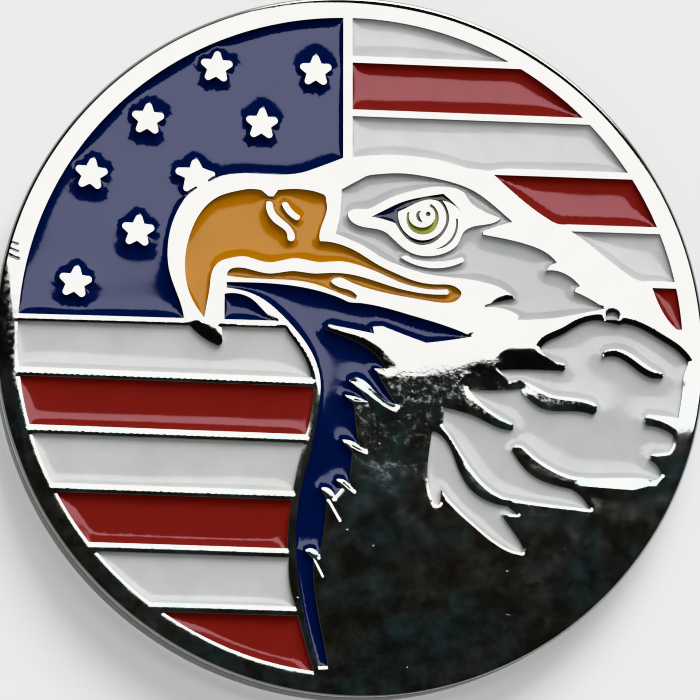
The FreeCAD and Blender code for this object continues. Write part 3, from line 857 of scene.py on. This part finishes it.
def bump(tree, height, distance, normal=None):
    """A bump of a height in millimetres, on top of an earlier one if a normal is given."""
    node = tree.nodes.new("ShaderNodeBump")
    node.inputs["Strength"].default_value = 1.0
    node.inputs["Distance"].default_value = distance * MM
    tree.links.new(height, node.inputs["Height"])
    if normal is not None:
        tree.links.new(normal, node.inputs["Normal"])
    return node.outputs["Normal"]


def specks(tree, place):
    """Tiny sparse bumps: 1 at the middle of each and 0 between them."""
    cells = tree.nodes.new("ShaderNodeTexVoronoi")
    cells.inputs["Scale"].default_value = 1.1
    tree.links.new(place, cells.inputs["Vector"])
    split = tree.nodes.new("ShaderNodeSeparateColor")
    tree.links.new(cells.outputs["Color"], split.inputs["Color"])
    chosen = remap(tree, split.outputs["Red"], 0.70, 0.71)
    return multiply(tree, chosen, remap(tree, cells.outputs["Distance"], 0.0, 0.045, 1, 0))


def polished_nickel():
    """Mirror-polished plate. It is hazier and faintly tarnished on the dark lower part, and
    scuffed below the cheek and on the left of the rim."""
    material, tree, shader = new_material("polished_nickel")
    place = millimetres(tree)
    split = tree.nodes.new("ShaderNodeSeparateXYZ")
    tree.links.new(place, split.inputs["Vector"])
    x, y = split.outputs["X"], split.outputs["Y"]
    on_neck = remap(tree, y, -1.0, -1.5)
    low_neck = remap(tree, y, -1.8, -4.0)
    below_cheek = multiply(tree, remap(tree, y, -0.2, -1.1), remap(tree, y, -2.0, -5.5, 1, 0))
    right_of_throat = multiply(tree, remap(tree, x, -0.6, 0.2), remap(tree, x, 7.5, 9.0, 1, 0))
    passing = multiply(tree, below_cheek, right_of_throat)
    left_rim = multiply(tree, remap(tree, x, -11.3, -11.7), remap(tree, y, -4.5, -1.5))

    bright = colour_ramp(tree, noise(tree, place, 0.9, 5, 0.6), zip((0.3, 0.62), CLEAN_NICKEL))
    stained = colour_ramp(
        tree, noise(tree, place, 0.55, 5, 0.65), zip((0.34, 0.5, 0.66), STAINED_NICKEL)
    )
    tree.links.new(mix(tree, on_neck, bright, stained), shader.inputs["Base Color"])

    haze = remap(tree, noise(tree, place, 1.6, 5, 0.65), 0.35, 0.72, 0.03, 0.08)
    clear = remap(tree, noise(tree, place, 3.0, 4, 0.6), 0.35, 0.75, 0.025, 0.045)
    scuffed = remap(tree, noise(tree, place, 4.0, 5, 0.7), 0.45, 0.70, 0.03, 0.16)
    roughness = mix(tree, low_neck, clear, haze, "FLOAT")
    for worn_place in (passing, left_rim):
        roughness = mix(tree, worn_place, roughness, scuffed, "FLOAT")
    tree.links.new(roughness, shader.inputs["Roughness"])

    film = remap(tree, noise(tree, place, 1.1, 6, 0.7), 0.40, 0.72, 0, 0.09)
    bare = remap(tree, multiply(tree, on_neck, film), 0, 1, 1, 0)
    tree.links.new(bare, shader.inputs["Metallic"])

    grain = multiply(tree, remap(tree, low_neck, 0, 1, 0.1, 1), noise(tree, place, 5.0, 4, 0.6))
    normal = bump(tree, grain, 0.0007)
    scuffs = multiply(tree, passing, noise(tree, place, 7.0, 3, 0.6))
    normal = bump(tree, scuffs, 0.0016, normal)
    normal = bump(tree, multiply(tree, on_neck, specks(tree, place)), 0.006, normal)
    tree.links.new(normal, shader.inputs["Normal"])
    return material


def satin_back():
    """The plain plated back, not polished after striking."""
    material, tree, shader = new_material("satin_back")
    shader.inputs["Metallic"].default_value = 1.0
    place = millimetres(tree)
    shades = ((0.3, (0.52, 0.51, 0.49)), (0.7, (0.62, 0.61, 0.58)))
    colour = colour_ramp(tree, noise(tree, place, 0.6), shades)
    tree.links.new(colour, shader.inputs["Base Color"])
    tree.links.new(remap(tree, noise(tree, place, 2.0), 0.3, 0.7, 0.28, 0.42), shader.inputs["Roughness"])
    grain = noise(tree, place, 7.0, 5, 0.7)
    tree.links.new(bump(tree, grain, 0.02), shader.inputs["Normal"])
    return material


def enamel(name, colour, gloss_tint, ior=1.5, other=None, axis="Y", span=(0, 1)):
    """Glossy fired colour with a little drift in its depth. It can pass into another colour
    over a span of one axis, in millimetres."""
    material, tree, shader = new_material(name)
    place = millimetres(tree)
    drift = noise(tree, place, 0.8)

    def drifting(base):
        deeper = tuple(part * 0.92 for part in base)
        return colour_ramp(tree, drift, ((0.35, deeper), (0.65, base)))

    mixed = drifting(colour)
    if other is not None:
        split = tree.nodes.new("ShaderNodeSeparateXYZ")
        tree.links.new(place, split.inputs["Vector"])
        mixed = mix(tree, remap(tree, split.outputs[axis], *span), mixed, drifting(other))
    tree.links.new(mixed, shader.inputs["Base Color"])
    shader.inputs["Roughness"].default_value = 0.06
    shader.inputs["IOR"].default_value = ior
    shader.inputs["Specular Tint"].default_value = (*gloss_tint, 1)
    tree.links.new(bump(tree, noise(tree, place, 5.0, 2), 0.0003), shader.inputs["Normal"])
    return material


def rolled_edge_painted_dark():
    """The darker, duller side of the disc, with fine marks that run round it. Its dark colour is painted
    shade, standing in for the dark surroundings that the side reflects.
    """
    material, tree, shader = new_material("rolled_edge_painted_dark")
    shader.inputs["Metallic"].default_value = 1.0
    place = millimetres(tree, (1, 1, 6))
    streaks = noise(tree, place, 1.2, 5, 0.6)
    # Painted shade: these very dark colours stand in for the dark surroundings that the side reflects.
    shades = ((0.3, (0.060, 0.063, 0.058)), (0.7, (0.105, 0.108, 0.10)))
    colour = colour_ramp(tree, streaks, shades)
    tree.links.new(colour, shader.inputs["Base Color"])
    tree.links.new(remap(tree, streaks, 0.3, 0.7, 0.22, 0.35), shader.inputs["Roughness"])
    tree.links.new(bump(tree, noise(tree, place, 4.0, 4, 0.6), 0.004), shader.inputs["Normal"])
    return material


# ------------------------------------------------------------------ assembly
PIGMENTS = {
    # base colour, tint and IOR of the gloss, and for some a second colour, an axis and a span
    "blue": ((0.006, 0.013, 0.075), (0.75, 0.77, 1.0), 1.55),
    "red": ((0.33, 0.054, 0.048), (1.0, 0.57, 0.64), 1.58),
    "white": ((0.90, 0.905, 0.895), (1.0, 1.0, 1.0)),
    "grey": ((0.74, 0.75, 0.75), (1.0, 1.0, 1.0), 1.5, (0.84, 0.845, 0.845), "Y", (1.2, -1.2)),
    "orange": ((0.68, 0.245, 0.012), (1.0, 0.85, 0.55)),
    "yellow": ((0.42, 0.44, 0.07), (1.0, 1.0, 0.6)),
    "dark": ((0.012, 0.020, 0.075), (1.0, 1.0, 1.0), 1.5, (0.05, 0.052, 0.055), "X", (1.6, 2.5)),
}
POURS = {
    "blue": Pour(0.17, 0.30, 0.18),
    "red": Pour(0.17, 0.18, 0.325, 1.65, lean=0.012),
    "white": Pour(0.15, 0.20, 0.22, lean=0.012),
    "grey": Pour(0.14, 0.20, 0.22),
    "orange": Pour(0.16, 0.20, 0.22),
    "yellow": Pour(0.12, 0.20, 0.15),
    "dark": Pour(0.12, 0.20, 0.15),
}
CRISP_RED = Pour(0.17, 0.14, 0.31, 8)
CRISP_FILLS = ("stripe_lower_4_red", "stripe_lower_6_red")
ENAMELS = {colour: enamel(f"enamel_{colour}", *looks) for colour, looks in PIGMENTS.items()}

fill_outlines = {}
fill_floors = {}
for fill in FILLS:
    fill_outlines[fill] = [Outline(points) for points in top_outlines(fill)]
    fill_floors[fill] = triangulate([o.points for o in fill_outlines[fill]], np.zeros((0, 2)))

all_outlines = [outline for fill in FILLS for outline in fill_outlines[fill]]
disc = build_disc(
    all_outlines,
    [(fill_outlines[fill], fill_floors[fill]) for fill in FILLS],
    [polished_nickel(), satin_back(), rolled_edge_painted_dark()],
)
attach(disc, "root")
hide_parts(DISC)

for fill in FILLS:
    colour = fill.split("_")[-1]
    pour = CRISP_RED if fill in CRISP_FILLS else POURS[colour]
    piece = build_fill(f"enamel_in_{fill}", fill_outlines[fill], fill_floors[fill], pour, ENAMELS[colour])
    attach(piece, "root")
    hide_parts(fill)

# ------------------------------------------------------------------ stage, camera and light
# Sizes and distances here are in metres.
FLOOR_SIZE = 1.2
FLOOR_GAP = 0.00002  # below the disc's back


def floor():
    """A plain pale sheet under the part."""
    mesh = bpy.data.meshes.new("floor")
    half = FLOOR_SIZE / 2
    corners = [(-half, -half, 0), (half, -half, 0), (half, half, 0), (-half, half, 0)]
    mesh.from_pydata(corners, [], [(0, 1, 2, 3)])
    material, _, shader = new_material("floor")
    shader.inputs["Base Color"].default_value = (0.93, 0.93, 0.925, 1)
    shader.inputs["Roughness"].default_value = 0.9
    shader.inputs["Emission Color"].default_value = (1, 1, 1, 1)
    shader.inputs["Emission Strength"].default_value = 0.3
    mesh.materials.append(material)
    made = bpy.data.objects.new("floor", mesh)
    made.location.z = -FLOOR_GAP
    bpy.context.scene.collection.objects.link(made)


def direction(right, up):
    """A direction from the face's centre, from its parts along +X and +Y."""
    return Vector((right, up, math.sqrt(1 - right**2 - up**2)))


CAMERA_DIRECTION = direction(-0.1286, -0.2098)
CAMERA_DISTANCE = 0.110
LENS = 162.2
CAMERA_SHIFT = (-0.00707, -0.01577)  # sets the disc in the frame as in the photograph


def aimed(back):
    """The turn of a camera or light whose back points that way, with +Y upwards."""
    right = Vector((0, 1, 0)).cross(back).normalized()
    up = back.cross(right)
    return Matrix((right, up, back)).transposed().to_4x4()


def camera():
    """The camera, at the photograph's viewing angle."""
    data = bpy.data.cameras.new("camera")
    data.lens = LENS
    data.sensor_width = 36
    data.shift_x, data.shift_y = CAMERA_SHIFT
    data.clip_start = 0.01
    made = bpy.data.objects.new("camera", data)
    place = Vector((0, 0, TOP * MM)) + CAMERA_DIRECTION * CAMERA_DISTANCE
    made.matrix_world = Matrix.Translation(place) @ aimed(CAMERA_DIRECTION)
    bpy.context.scene.collection.objects.link(made)
    bpy.context.scene.camera = made


LIGHT_DISTANCE = 3.0


def softbox(name, towards, width, height, radiance, roll=0.0):
    """A rectangular light far from the part. Its width and height are spans of direction."""
    data = bpy.data.lights.new(name, "AREA")
    data.shape = "RECTANGLE"
    data.size = width * LIGHT_DISTANCE
    data.size_y = height * LIGHT_DISTANCE
    data.energy = radiance * math.pi * data.size * data.size_y
    made = bpy.data.objects.new(name, data)
    back = towards.normalized()
    place = Matrix.Translation(back * LIGHT_DISTANCE)
    made.matrix_world = place @ aimed(back) @ Matrix.Rotation(roll, 4, "Z")
    bpy.context.scene.collection.objects.link(made)


def along(tree, coordinates, towards):
    """How far the direction that is looked in lies towards another."""
    node = tree.nodes.new("ShaderNodeVectorMath")
    node.operation = "DOT_PRODUCT"
    node.inputs[1].default_value = towards
    tree.links.new(coordinates.outputs["Generated"], node.inputs[0])
    return node.outputs["Value"]


def studio():
    """A bright strip overhead, a low key light behind it, and a room that is bright on that side."""
    softbox("overhead_strip", direction(0.13, 0.265), 0.60, 0.13, 3.9, math.radians(-7))
    softbox("key", direction(0.30, 0.82), 0.7, 0.55, 7.5)
    world = bpy.data.worlds.new("studio")
    world.use_nodes = True
    tree = world.node_tree
    background = tree.nodes["Background"]
    coordinates = tree.nodes.new("ShaderNodeTexCoord")
    split = tree.nodes.new("ShaderNodeSeparateXYZ")
    tree.links.new(coordinates.outputs["Generated"], split.inputs["Vector"])
    walls = remap(tree, split.outputs["Z"], 0.10, 0.5, 0.30, 0.05)
    bright_side = remap(tree, along(tree, coordinates, (0.13, 1, 0)), 0.60, 0.80, 0.05, 0.65)
    near_left = remap(tree, along(tree, coordinates, (-0.75, -0.66, 0)), 0.30, 0.52, 0.05, 0.42)
    brightest = walls
    for other in (bright_side, near_left):
        node = tree.nodes.new("ShaderNodeMath")
        node.operation = "MAXIMUM"
        tree.links.new(brightest, node.inputs[0])
        tree.links.new(other, node.inputs[1])
        brightest = node.outputs["Value"]
    tree.links.new(brightest, background.inputs["Strength"])
    background.inputs["Color"].default_value = (0.97, 1, 1, 1)
    bpy.context.scene.world = world


floor()
camera()
studio()
bpy.context.scene.view_settings.view_transform = "Khronos PBR Neutral"
